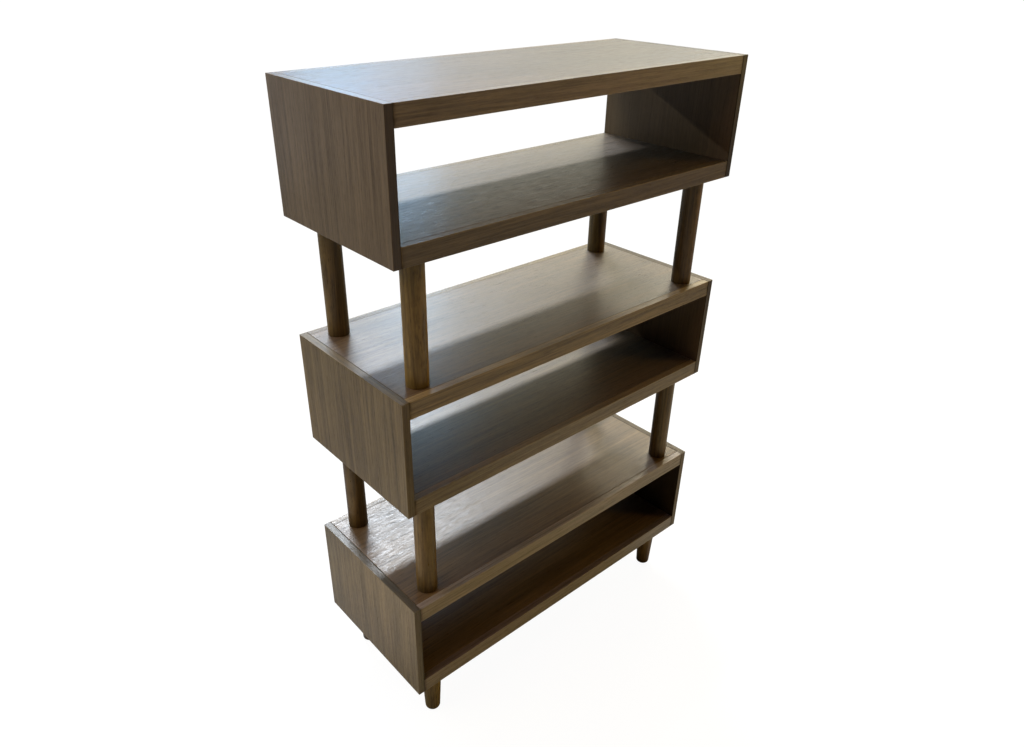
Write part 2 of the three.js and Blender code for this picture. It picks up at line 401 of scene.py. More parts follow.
def lipping(node, side, material, seed):
    """Solid strip along a front (side -1) or back (side 1) edge, grooved for the core's tongue."""
    lo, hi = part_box(node)
    x1 = hi.x - GAP
    core_side = hi.y if side < 0 else lo.y
    joint = core_side + side * GAP / 2
    y0, y1 = (lo.y, joint) if side < 0 else (joint, hi.y)
    deep = core_side + side * (LIP_TONGUE_L + FIT)
    zc = (lo.z + hi.z) / 2
    half = LIP_TONGUE_T / 2 + FIT
    gx = hi.x - LIP_TONGUE_STOP + FIT
    xs = inside(-x1, x1, -gx, gx)
    ys = grid(y0, y1, deep, (y0 + y1) / 2 + side * 4 * MM)
    zs = inside(lo.z, hi.z, zc - half, zc + half)

    def filled(i, j, k):
        x, y, z = ((a[q] + a[q + 1]) / 2 for a, q in ((xs, i), (ys, j), (zs, k)))
        return not (abs(x) < gx and abs(z - zc) < half and (y - deep) * side < 0)

    bm = cells(xs, ys, zs, filled)
    outer = lo.y if side < 0 else hi.y

    def ends(m, a, b):
        return near(abs(m.x), x1) and not near(m.y, joint)

    def long_outer(m, a, b):
        return near(m.y, outer) and (near(m.z, lo.z) or near(m.z, hi.z))

    def long_inner(m, a, b):
        return near(m.y, joint) and (near(m.z, lo.z) or near(m.z, hi.z))

    round_edges(bm, convex_edges(bm, lambda m, a, b: ends(m, a, b) or long_outer(m, a, b)), ARRIS, 3)
    round_edges(bm, convex_edges(bm, long_inner), LIP_ARRIS, 2)

    def uv_of(axis, c):
        return c[0], c[1] + c[2]

    def joint_grime_and_shade(c):
        on_z = min(abs(c[2] - lo.z), abs(c[2] - hi.z)) < 2.2 * MM
        on_y = abs(c[1] - outer) < 2.2 * MM
        faint = 0.5 if hi.z > 1.5 else 1.0
        # A wide dark band on the front face beside each end: painted shade of the gap, with some grime in the joint.
        front = 1.2 * math.exp(-max(x1 - abs(c[0]) - 0.6 * MM, 0) / (2.3 * MM)) if on_y else 0.0
        a = faint * math.exp(-max(x1 - abs(c[0]), 0) / (0.9 * MM)) if on_z else 0.0
        b = faint * 0.8 * math.exp(-abs(c[1] - joint) / (0.6 * MM)) if on_z else 0.0
        return max(front, a, b)

    finish_board(
        bm, node + "_strip", uv_of, ((-x1, y0, lo.z), (x1, y1, hi.z)), joint_grime_and_shade, material, node, seed
    )


# ------------------------------------------------------------------ turned pieces
def arc(cr, cz, r, a0, a1, n):
    """Points on an arc about (cr, cz) in the radius and height plane, angles in degrees from straight out."""
    return [
        (cr + r * math.cos(math.radians(a0 + (a1 - a0) * i / n)), cz + r * math.sin(math.radians(a0 + (a1 - a0) * i / n)))
        for i in range(n + 1)
    ]


def lathe(profile, centre, sides, twist=0.0):
    """Closed surface of revolution from (radius, height) points that start and end on the axis."""
    bm = bmesh.new()
    rings = []
    for r, z in profile:
        if r < 1e-9:
            rings.append([bm.verts.new((centre[0], centre[1], centre[2] + z))])
        else:
            rings.append(
                [
                    bm.verts.new(
                        (
                            centre[0] + r * math.cos(2 * math.pi * s / sides + twist),
                            centre[1] + r * math.sin(2 * math.pi * s / sides + twist),
                            centre[2] + z,
                        )
                    )
                    for s in range(sides)
                ]
            )
    for a, b in zip(rings, rings[1:]):
        for s in range(sides):
            q = (s + 1) % sides
            if len(a) == 1:
                bm.faces.new((a[0], b[q], b[s]))
            elif len(b) == 1:
                bm.faces.new((a[s], a[q], b[0]))
            else:
                bm.faces.new((a[s], a[q], b[q], b[s]))
    bmesh.ops.recalc_face_normals(bm, faces=bm.faces)
    return bm


def finish_round(bm, name, material, node, seed, ends, sharp_deg=38):
    """Turned piece: smooth shading, and coordinates of its own for the grain."""
    me = bpy.data.meshes.new(name)
    for e in bm.edges:
        e.smooth = not (len(e.link_faces) == 2 and e.calc_face_angle(0) > math.radians(sharp_deg))
    bm.to_mesh(me)
    bm.free()
    me.polygons.foreach_set("use_smooth", [True] * len(me.polygons))
    n = len(me.vertices)
    co = np.empty(n * 3)
    me.vertices.foreach_get("co", co)
    co = co.reshape(-1, 3)
    rng = np.random.default_rng(seed)
    centre = (co.min(0) + co.max(0)) / 2
    turn = rng.uniform(0, 2 * math.pi)
    c, s = math.cos(turn), math.sin(turn)
    x, y = co[:, 0] - centre[0], co[:, 1] - centre[1]
    own = np.stack([x * c - y * s, x * s + y * c, co[:, 2] - centre[2] + rng.uniform(0, 3)], 1)
    a = me.attributes.new("solid", "FLOAT_VECTOR", "POINT")
    a.data.foreach_set("vector", own.astype(np.float32).ravel())
    heart = np.tile(np.array([rng.uniform(0.06, 0.10), rng.uniform(-0.03, 0.03), rng.uniform(0, 5)]), (n, 1))
    a = me.attributes.new("heart", "FLOAT_VECTOR", "POINT")
    a.data.foreach_set("vector", heart.astype(np.float32).ravel())
    # Darker towards the ends where the piece meets a box: partly grime, partly painted shade.
    a = me.attributes.new("joint", "FLOAT", "POINT")
    near_end = np.min(np.stack([np.abs(co[:, 2] - z) for z in ends]), axis=0) if ends else np.full(n, 1.0)
    a.data.foreach_set("value", np.exp(-near_end / (1.3 * MM)).astype(np.float32))
    a = me.attributes.new("wear_and_highlight", "FLOAT", "POINT")
    a.data.foreach_set("value", np.zeros(n, np.float32))
    a = me.attributes.new("tint", "FLOAT", "POINT")
    a.data.foreach_set("value", np.full(n, rng.uniform(-1, 1), np.float32))
    # Colour factors of the piece, with painted light in some of them.
    a = me.attributes.new("stain_and_light", "FLOAT_VECTOR", "FACE")
    a.data.foreach_set("vector", np.tile(np.array(STAIN_AND_LIGHT.get(node, (1.0, 1.0, 1.0)), np.float32), len(me.polygons)))
    a = me.attributes.new("figure", "FLOAT", "FACE")
    a.data.foreach_set("value", np.ones(len(me.polygons), np.float32))
    me.materials.append(material)
    o = bpy.data.objects.new(name, me)
    bpy.context.scene.collection.objects.link(o)
    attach(o, "root")
    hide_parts(node)
    return o


def spaced(a, b, n):
    return [a + (b - a) * i / n for i in range(n + 1)]


def post(node, material, seed):
    """Turned post, blind holes at both ends, its end arrises rounded."""
    lo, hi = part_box(node)
    cx, cy = (lo.x + hi.x) / 2, (lo.y + hi.y) / 2
    r, h, e = (hi.x - lo.x) / 2, hi.z - lo.z, 1.4 * MM
    hs, hp = SCREW_D / 2 + FIT, PIN_D / 2 + FIT
    screw_top, pin_low = SCREW_L - SCREW_IN_PANEL + 1 * MM, h - (PIN_L - PIN_IN_PANEL) - 1 * MM
    profile = [(0, screw_top), (hs, screw_top - hs * 0.5), (hs, 0.6 * MM), (hs + 0.6 * MM, 0), (r - 8 * MM, 0), (r - e, 0)]
    profile += arc(r - e, e, e, -90, 0, 5)[1:]
    profile += [(r, z) for z in spaced(e, h - e, 14)[1:-1]]
    profile += arc(r - e, h - e, e, 0, 90, 5)
    profile += [(r - 8 * MM, h), (hp + 0.6 * MM, h), (hp, h - 0.6 * MM), (hp, pin_low + hp * 0.5), (0, pin_low)]
    bm = lathe(profile, (cx, cy, lo.z), 80)
    finish_round(bm, node + "_turned", material, node, seed, (lo.z, hi.z))


def foot(node, material, seed):
    """Tapered foot with a rounded toe; a slight swell keeps the taper from reading as a cone."""
    lo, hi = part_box(node)
    cx, cy = (lo.x + hi.x) / 2, (lo.y + hi.y) / 2
    rt, h = (hi.x - lo.x) / 2, hi.z - lo.z
    rb, toe = 19.5 * MM, 6 * MM
    hs, nail = SCREW_D / 2 + FIT, 1.6 * MM
    profile = [(0, 17 * MM), (nail, 16.4 * MM), (nail, 0.2 * MM), (nail + 0.2 * MM, 0), (rb - toe - 3 * MM, 0), (rb - toe, 0)]
    profile += arc(rb - toe, toe, toe, -90, 3.5, 9)[1:]
    r0, z0 = profile[-1]
    r1, z1 = rt - 0.05 * MM, h - 1.4 * MM
    for i in range(1, 14):
        t = i / 14
        profile.append((r0 + (r1 - r0) * t + 0.25 * MM * math.sin(math.pi * t), z0 + (z1 - z0) * t))
    profile += arc(rt - 1.4 * MM, h - 1.4 * MM, 1.4 * MM, 0, 90, 5)
    profile += [(rt - 8 * MM, h), (hs + 0.6 * MM, h), (hs, h - 0.6 * MM), (hs, h - (SCREW_L - SCREW_IN_PANEL)), (0, h - (SCREW_L - SCREW_IN_PANEL) - 1 * MM)]
    bm = lathe(profile, (cx, cy, lo.z), 80)
    finish_round(bm, node + "_turned", material, node, seed, (hi.z,))


def glide(node, material, seed):
    """Nailed glide: a domed button and its nail."""
    lo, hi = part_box(node)
    cx, cy = (lo.x + hi.x) / 2, (lo.y + hi.y) / 2
    r, t = (hi.x - lo.x) / 2, 3 * MM
    profile = [(0, 0), (r - 2.4 * MM, 0)]
    profile += arc(r - 1.6 * MM, 1.6 * MM, 1.6 * MM, -90, 0, 6)[1:]
    profile += [(r, t - 0.4 * MM), (r - 0.4 * MM, t), (2.2 * MM, t), (1.3 * MM, t + 0.8 * MM), (1.3 * MM, t + 13 * MM), (0, hi.z - lo.z)]
    bm = lathe(profile, (cx, cy, lo.z), 40)
    finish_round(bm, node + "_button", material, node, seed, ())


def pin(node, material, seed):
    """Plain locating pin with rounded ends."""
    lo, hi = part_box(node)
    cx, cy = (lo.x + hi.x) / 2, (lo.y + hi.y) / 2
    r, h, e = PIN_D / 2, hi.z - lo.z, 1.2 * MM
    profile = [(0, 0), (r - e, 0)] + arc(r - e, e, e, -90, 0, 4)[1:] + [(r, z) for z in spaced(e, h - e, 6)[1:-1]]
    profile += arc(r - e, h - e, e, 0, 90, 4) + [(0, h)]
    bm = lathe(profile, (cx, cy, lo.z), 32)
    finish_round(bm, node + "_pin", material, node, seed, ())


def screw(node, material, seed):
    """Double-ended wood screw: a cut thread each way from a plain waist, both ends drawn to a point."""
    lo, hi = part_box(node)
    cx, cy = (lo.x + hi.x) / 2, (lo.y + hi.y) / 2
    h = hi.z - lo.z
    up_from_low = SCREW_IN_PANEL if "post" in node else h - SCREW_IN_PANEL
    major, minor, pitch = SCREW_D / 2, 2.75 * MM, 3.2 * MM
    sides, step = 20, 0.4 * MM
    rings = []
    count = int(h / step)
    for q in range(count + 1):
        z = h * q / count
        row = []
        from_end = min(z, h - z)
        taper = min(1.0, 0.06 + from_end / (9 * MM))
        away = abs(z - up_from_low)
        for s in range(sides):
            turn = s / sides
            phase = (z / pitch - turn) % 1.0
            crest = max(0.0, 1 - abs(phase - 0.5) / 0.28)
            crest = crest**0.8 if away > 3.2 * MM else 0.0
            rr = (minor if away > 3.2 * MM else 3.1 * MM) + (major - minor) * crest
            rr *= taper
            a = 2 * math.pi * turn
            row.append((cx + rr * math.cos(a), cy + rr * math.sin(a), lo.z + z))
        rings.append(row)
    bm = bmesh.new()
    grid_v = [[bm.verts.new(p) for p in row] for row in rings]
    for a, b in zip(grid_v, grid_v[1:]):
        for s in range(sides):
            q = (s + 1) % sides
            bm.faces.new((a[s], a[q], b[q], b[s]))
    bm.faces.new(list(reversed(grid_v[0])))
    bm.faces.new(grid_v[-1])
    bmesh.ops.recalc_face_normals(bm, faces=bm.faces)
    finish_round(bm, node + "_threaded", material, node, seed, (), 70)


# ------------------------------------------------------------------ materials
class Nodes:
    """Short hand for building a node tree."""

    def __init__(self, tree):
        self.t = tree
        self.t.nodes.clear()

    def new(self, kind, **settings):
        n = self.t.nodes.new(kind)
        for k, v in settings.items():
            setattr(n, k, v)
        return n

    def link(self, a, b):
        self.t.links.new(a, b)

    def _feed(self, socket, value):
        if isinstance(value, bpy.types.NodeSocket):
            self.link(value, socket)
        else:
            socket.default_value = value

    def math(self, op, a, b=None, c=None, clamp=False):
        n = self.new("ShaderNodeMath", operation=op, use_clamp=clamp)
        for i, v in enumerate((a, b, c)):
            if v is not None:
                self._feed(n.inputs[i], v)
        return n.outputs[0]

    def vector(self, x, y, z):
        n = self.new("ShaderNodeCombineXYZ")
        for i, v in enumerate((x, y, z)):
            self._feed(n.inputs[i], v)
        return n.outputs[0]

    def noise(self, vec, detail=2.0, rough=0.5, lac=2.0, distortion=0.0):
        n = self.new("ShaderNodeTexNoise", noise_dimensions="3D")
        self._feed(n.inputs["Vector"], vec)
        n.inputs["Scale"].default_value = 1.0
        n.inputs["Detail"].default_value = detail
        n.inputs["Roughness"].default_value = rough
        n.inputs["Lacunarity"].default_value = lac
        n.inputs["Distortion"].default_value = distortion
        return n.outputs["Fac"]

    def ramp(self, fac, stops, mode="LINEAR"):
        n = self.new("ShaderNodeValToRGB")
        n.color_ramp.interpolation = mode
        els = n.color_ramp.elements
        while len(els) < len(stops):
            els.new(0.5)
        for e, (pos, col) in zip(els, stops):
            e.position = pos
            e.color = (*col, 1.0) if len(col) == 3 else col
        self._feed(n.inputs["Fac"], fac)
        return n.outputs["Color"]

    def step(self, value, a, b):
        n = self.new("ShaderNodeMapRange", interpolation_type="SMOOTHSTEP", clamp=True)
        self._feed(n.inputs["Value"], value)
        n.inputs["From Min"].default_value = a
        n.inputs["From Max"].default_value = b
        n.inputs["To Min"].default_value = 0.0
        n.inputs["To Max"].default_value = 1.0
        return n.outputs[0]

    def mix(self, fac, a, b, mode="MIX"):
        n = self.new("ShaderNodeMix", data_type="RGBA", blend_type=mode)
        self._feed(n.inputs[0], fac)
        for sock, v in ((n.inputs[6], a), (n.inputs[7], b)):
            if isinstance(v, bpy.types.NodeSocket):
                self.link(v, sock)
            else:
                sock.default_value = (*v, 1.0)
        return n.outputs[2]

    def scale(self, colour, factor):
        n = self.new("ShaderNodeVectorMath", operation="SCALE")
        self._feed(n.inputs[0], colour)
        self._feed(n.inputs["Scale"], factor)
        return n.outputs[0]

    def product(self, a, b):
        n = self.new("ShaderNodeVectorMath", operation="MULTIPLY")
        self._feed(n.inputs[0], a)
        self._feed(n.inputs[1], b)
        return n.outputs[0]

    def attribute(self, name, output="Fac"):
        n = self.new("ShaderNodeAttribute", attribute_type="GEOMETRY", attribute_name=name)
        return n.outputs[output]


def srgb(r, g, b):
    """8-bit sRGB to linear."""
    return tuple(((v / 255 + 0.055) / 1.055) ** 2.4 if v > 10 else v / 255 / 12.92 for v in (r, g, b))


def times(colour, k):
    return tuple(c * k for c in colour)


def wood(name, base, contrast=1.0, rough=0.37, bump=1.0, warm=0.5, solid=False, gloss=1.0, edge=0.35, level=0.5, fine=1.0):
    """Open-grained, straight-grained stained wood under a satin lacquer.

    base is the mean colour (linear). Boards read the "grain" map; turned pieces are cut from a solid."""
    m = bpy.data.materials.new(name)
    m.use_nodes = True
    g = Nodes(m.node_tree)
    out = g.new("ShaderNodeOutputMaterial")
    p = g.new("ShaderNodeBsdfPrincipled")
    g.link(p.outputs[0], out.inputs["Surface"])

    if solid:
        sep = g.new("ShaderNodeSeparateXYZ")
        g.link(g.attribute("solid", "Vector"), sep.inputs[0])
        heart = g.new("ShaderNodeSeparateXYZ")
        g.link(g.attribute("heart", "Vector"), heart.inputs[0])
        along = sep.outputs[2]
        # Rings about a heart that lies outside the piece and leans a little, so they run out in long points.
        dx = g.math("SUBTRACT", sep.outputs[0], g.math("MULTIPLY_ADD", along, 0.014, heart.outputs[0]))
        dy = g.math("SUBTRACT", sep.outputs[1], heart.outputs[1])
        radius = g.math("SQRT", g.math("ADD", g.math("MULTIPLY", dx, dx), g.math("MULTIPLY", dy, dy)))
        turn = g.math("MULTIPLY", g.math("ARCTAN2", dy, dx), 0.075)
        across, depth = radius, turn
        seed = heart.outputs[2]
    else:
        uv = g.new("ShaderNodeUVMap", uv_map="grain")
        sep = g.new("ShaderNodeSeparateXYZ")
        g.link(uv.outputs[0], sep.inputs[0])
        along, across, depth, seed = sep.outputs[0], sep.outputs[1], None, 0.0

    def field(su, sv, off, **kw):
        z = g.math("ADD", seed, off) if solid else off
        if depth is not None:
            z = g.math("MULTIPLY_ADD", depth, sv * 0.35, z)
        return g.noise(g.vector(g.math("MULTIPLY", along, su), g.math("MULTIPLY", across_w, sv), z), **kw)

    # The grain wanders a few millimetres over the length of a board, and quivers a little within that.
    across_w = across
    slow = field(1.3, 5.0, 11.1, detail=1.0)
    quiver = field(7.0, 34.0, 4.4, detail=1.0)
    across_w = g.math("MULTIPLY_ADD", g.math("SUBTRACT", slow, 0.5), 0.020, across)
    across_w = g.math("MULTIPLY_ADD", g.math("SUBTRACT", quiver, 0.5), 0.0016, across_w)

    bands = field(1.0, 36.0, 2.2, detail=1.5, rough=0.5)  # broad streaks, 20 to 40 mm
    streaks = field(3.6 * fine, 105.0 * fine, 3.9, detail=2.0, rough=0.6)  # streaks of late wood, 5 to 10 mm
    rings = field(5.0, 300.0, 6.1, detail=2.0, rough=0.6)  # growth rings, 2 to 3 mm
    dashes = field(34.0, 210.0, 7.3, detail=2.0, rough=0.55)  # groups of open vessels, 5 mm by 30 mm
    fibre = field(26.0, 1100.0, 8.8, detail=2.0, rough=0.6)  # fibres, under 1 mm
    flecks = field(60.0, 2300.0, 5.7, detail=1.0, rough=0.5)  # vessels
    drift = field(1.1, 3.0, 1.3, detail=1.0)

    ring_dark = g.step(rings, 0.60, 0.36)
    pores = g.math("MULTIPLY", g.step(flecks, 0.57, 0.68), g.math("MULTIPLY_ADD", ring_dark, 0.65, 0.35))
    grouped = g.step(dashes, 0.52, 0.72)

    tone = g.math("MULTIPLY", g.math("SUBTRACT", bands, 0.5), 0.60 * contrast)
    tone = g.math("MULTIPLY_ADD", g.math("SUBTRACT", streaks, 0.5), 1.15 * contrast, tone)
    tone = g.math("MULTIPLY_ADD", g.math("SUBTRACT", rings, 0.5), 1.10 * contrast, tone)
    tone = g.math("MULTIPLY_ADD", g.math("SUBTRACT", fibre, 0.5), 0.7 * contrast, tone)
    tone = g.math("MULTIPLY_ADD", grouped, -0.16 * contrast, tone)
    tone = g.math("MULTIPLY_ADD", tone, g.attribute("figure"), 0.5)
    tone = g.math("MULTIPLY_ADD", g.attribute("tint"), 0.05, tone)
    dark = tuple(b * k for b, k in zip(base, (0.54, 0.51, 0.48)))
    light = tuple(b * k for b, k in zip(base, (1.56, 1.56, 1.56)))
    colour = g.ramp(tone, [(0.08, dark), (0.48, base), (0.90, light)])
    tinted = g.mix(1.0, colour, tuple(1 + warm * k for k in (0.10, 0.0, -0.12)), "MULTIPLY")
    colour = g.mix(g.step(drift, 0.35, 0.65), colour, tinted)
    shade = g.math("SUBTRACT", 1.0, g.math("MULTIPLY", pores, 0.45))
    # Darker along the joints: partly grime, partly painted shade of the gap.
    shade = g.math("MULTIPLY", shade, g.math("SUBTRACT", 1.0, g.math("MULTIPLY", g.attribute("joint"), 0.72)))
    colour = g.scale(colour, shade)
    # Paler arrises: partly rubbed wear, partly a painted highlight on the rounded edge.
    worn_and_lit = g.math("MULTIPLY", g.attribute("wear_and_highlight"), g.step(g.math("ADD", bands, g.math("MULTIPLY", quiver, 0.4)), 0.42, 0.80))
    colour = g.mix(g.math("MULTIPLY", worn_and_lit, edge), colour, times(base, 1.9))
    # Board colour factors, which carry painted light and shade as well as stain.
    colour = g.product(colour, g.attribute("stain_and_light", "Vector"))
    g.link(colour, p.inputs["Base Color"])

    r = g.math("MULTIPLY_ADD", g.math("SUBTRACT", fibre, 0.5), 0.16 + 0.18 * gloss, rough)
    r = g.math("MULTIPLY_ADD", g.math("SUBTRACT", dashes, 0.5), 0.30 * gloss, r)
    r = g.math("MULTIPLY_ADD", g.math("SUBTRACT", streaks, 0.5), 0.10 * gloss, r)
    r = g.math("MULTIPLY_ADD", pores, 0.30, r)
    r = g.math("MULTIPLY_ADD", g.attribute("joint"), 0.15, r, clamp=True)
    g.link(r, p.inputs["Roughness"])

    height = g.math("MULTIPLY", g.math("SUBTRACT", rings, 0.5), 0.030 * bump)
    height = g.math("MULTIPLY_ADD", g.math("SUBTRACT", dashes, 0.5), 0.050 * bump, height)
    height = g.math("MULTIPLY_ADD", g.math("SUBTRACT", fibre, 0.5), 0.028 * bump, height)
    height = g.math("MULTIPLY_ADD", pores, -0.045 * bump, height)
    height = g.math("MULTIPLY_ADD", g.math("SUBTRACT", slow, 0.5), 0.10 * bump, height)
    b = g.new("ShaderNodeBump")
    b.inputs["Strength"].default_value = 1.0
    b.inputs["Distance"].default_value = 0.001
    g.link(height, b.inputs["Height"])
    g.link(b.outputs[0], p.inputs["Normal"])

    p.inputs["IOR"].default_value = 1.5
    # Less shine along the joints: partly no lacquer in the gap, partly painted shade that dims the reflection there.
    g.link(g.math("MULTIPLY", g.math("SUBTRACT", 1.0, g.math("MULTIPLY", g.attribute("joint"), 0.7), clamp=True), level), p.inputs["Specular IOR Level"])
    return m


def steel(name):
    m = bpy.data.materials.new(name)
    m.use_nodes = True
    g = Nodes(m.node_tree)
    out = g.new("ShaderNodeOutputMaterial")
    p = g.new("ShaderNodeBsdfPrincipled")
    g.link(p.outputs[0], out.inputs["Surface"])
    vec = g.attribute("solid", "Vector")
    sep = g.new("ShaderNodeSeparateXYZ")
    g.link(vec, sep.inputs[0])
    mottled = g.noise(g.scale(vec, 420.0), 3.0, 0.6)
    drawn = g.noise(g.vector(g.math("MULTIPLY", sep.outputs[0], 4000.0), g.math("MULTIPLY", sep.outputs[1], 4000.0), g.math("MULTIPLY", sep.outputs[2], 90.0)), 2.0)
    colour = g.ramp(mottled, [(0.25, (0.34, 0.33, 0.29)), (0.6, (0.52, 0.51, 0.47)), (0.85, (0.62, 0.62, 0.60))])
    g.link(colour, p.inputs["Base Color"])
    g.link(g.math("MULTIPLY_ADD", mottled, 0.25, 0.22), p.inputs["Roughness"])
    b = g.new("ShaderNodeBump")
    b.inputs["Distance"].default_value = 0.00003
    g.link(drawn, b.inputs["Height"])
    g.link(b.outputs[0], p.inputs["Normal"])
    p.inputs["Metallic"].default_value = 1.0
    return m


def plastic(name):
    m = bpy.data.materials.new(name)
    m.use_nodes = True
    g = Nodes(m.node_tree)
    out = g.new("ShaderNodeOutputMaterial")
    p = g.new("ShaderNodeBsdfPrincipled")
    g.link(p.outputs[0], out.inputs["Surface"])
    vec = g.attribute("solid", "Vector")
    cloud = g.noise(g.scale(vec, 300.0), 2.0)
    grainy = g.noise(g.scale(vec, 2600.0), 2.0)
    g.link(g.ramp(cloud, [(0.3, (0.020, 0.018, 0.016)), (0.7, (0.034, 0.031, 0.028))]), p.inputs["Base Color"])
    g.link(g.math("MULTIPLY_ADD", grainy, 0.2, 0.45), p.inputs["Roughness"])
    b = g.new("ShaderNodeBump")
    b.inputs["Distance"].default_value = 0.00005
    g.link(grainy, b.inputs["Height"])
    g.link(b.outputs[0], p.inputs["Normal"])
    return m


END_COLOUR = (0.101, 0.073, 0.042)
PANEL_COLOUR = (0.083, 0.054, 0.027)
LIP_COLOUR = (0.106, 0.073, 0.037)
POST_COLOUR = (0.095, 0.056, 0.014)

END = wood("stained_veneer_upright", END_COLOUR, contrast=1.05, bump=0.15, gloss=0.15, edge=0.12, level=0.3)
CORE = wood("stained_veneer_shelf", PANEL_COLOUR, rough=0.38)
CORE_SATIN = wood("stained_veneer_shelf_satin", PANEL_COLOUR, rough=0.365, level=0.68)
CORE_SOFT = wood("stained_veneer_shelf_soft", PANEL_COLOUR, rough=0.39, level=0.55)
EDGING = wood("stained_edging", END_COLOUR, contrast=0.9, rough=0.35, bump=0.5, gloss=0.4, edge=0.3, level=0.5)
EDGING_SOFT = wood("stained_edging_soft", END_COLOUR, contrast=0.9, rough=0.37, bump=0.5, gloss=0.4, edge=0.3, level=0.3)
SHELF = {("top", "top"): CORE, ("bottom", "top"): CORE_SOFT}
STRIP = wood("stained_lipping", LIP_COLOUR, contrast=1.1, rough=0.37, edge=0.6, fine=1.7)
ROUND = wood("stained_turned", POST_COLOUR, contrast=1.3, solid=True, level=0.4)
STEEL = steel("plated_steel")
PLASTIC = plastic("glide_nylon")

# ------------------------------------------------------------------ the pieces
seed = 11
for tier in TIERS:
    for end, side in (("left", -1), ("right", 1)):
        end_panel(f"{tier}_box_{end}_end", side, END, EDGING if (tier, end) == ("top", "left") else EDGING_SOFT, seed)
        seed += 1
    for which in ("bottom", "top"):
        panel_core(f"{tier}_box_{which}_panel", None, None, SHELF.get((tier, which), CORE_SATIN), seed)
        seed += 1
        for edge, side in (("front", -1), ("back", 1)):
            lipping(f"{tier}_box_{which}_{edge}_lipping", side, STRIP, seed)
            seed += 1
for row in ("lower", "upper"):
    for corner in CORNERS:
        post(f"{row}_post_{corner}", ROUND, seed)
        screw(f"{row}_post_screw_{corner}", STEEL, seed + 1)
        pin(f"{row}_post_pin_{corner}", STEEL, seed + 2)
        seed += 3
for corner in CORNERS:
    foot(f"foot_{corner}", ROUND, seed)
    glide(f"foot_glide_{corner}", PLASTIC, seed + 1)
    screw(f"foot_screw_{corner}", STEEL, seed + 2)
    seed += 3

# ------------------------------------------------------------------ floor
floor_mesh = bpy.data.meshes.new("floor")
floor_mesh.from_pydata([(-60, -60, 0), (60, -60, 0), (60, 60, 0), (-60, 60, 0)], [], [(0, 1, 2, 3)])
floor = bpy.data.objects.new("floor", floor_mesh)
bpy.context.scene.collection.objects.link(floor)
floor.location.z = -0.0003
paint = bpy.data.materials.new("pale_floor")
paint.use_nodes = True
f = Nodes(paint.node_tree)
f_out = f.new("ShaderNodeOutputMaterial")
f_seen, f_room = f.new("ShaderNodeBsdfPrincipled"), f.new("ShaderNodeBsdfPrincipled")
for shader, albedo, glow in ((f_seen, 0.08, 0.955), (f_room, 0.30, 0.0)):
    shader.inputs["Base Color"].default_value = (albedo, albedo, albedo, 1)
    shader.inputs["Roughness"].default_value = 0.9
    shader.inputs["Specular IOR Level"].default_value = 0.0
    shader.inputs["Emission Color"].default_value = (1, 1, 1, 1)
    shader.inputs["Emission Strength"].default_value = glow
# The floor is white paper to the lens, and a mid-grey floor to the lacquer, which would mirror it as a haze.
f_path, f_mix = f.new("ShaderNodeLightPath"), f.new("ShaderNodeMixShader")
f.link(f_path.outputs["Is Camera Ray"], f_mix.inputs[0])
f.link(f_room.outputs[0], f_mix.inputs[1])
f.link(f_seen.outputs[0], f_mix.inputs[2])
f.link(f_mix.outputs[0], f_out.inputs["Surface"])
floor_mesh.materials.append(paint)

# ------------------------------------------------------------------ light: a strip far behind, soft panels nearer
# Panels at a great distance. Azimuth 0 is +Y (behind the bookcase) and 90 is +X. A "strip" lies along X, between two
# angles about the X axis; a "patch" lies between two elevations. Degrees; then the colour, times its strength.
FAR = (
    ("strip", 10.0, 36.0, 45.7, 49.2, (149.0, 160.0, 172.0)),
    ("strip", 36.0, 50.0, 45.7, 49.2, (2.0, 1.2, 0.8)),
    ("strip", 50.0, 65.0, 45.7, 49.2, (31.7, 27.8, 19.6)),
    ("strip", 65.0, 85.0, 45.7, 49.2, (12.7, 11.1, 7.8)),
    ("patch", -90.0, -60.0, 30.0, 60.0, (3.5, 3.1, 0.7)),
    ("patch", 131.0, 141.0, 34.0, 46.0, (15.0, 9.6, 1.5)),
)
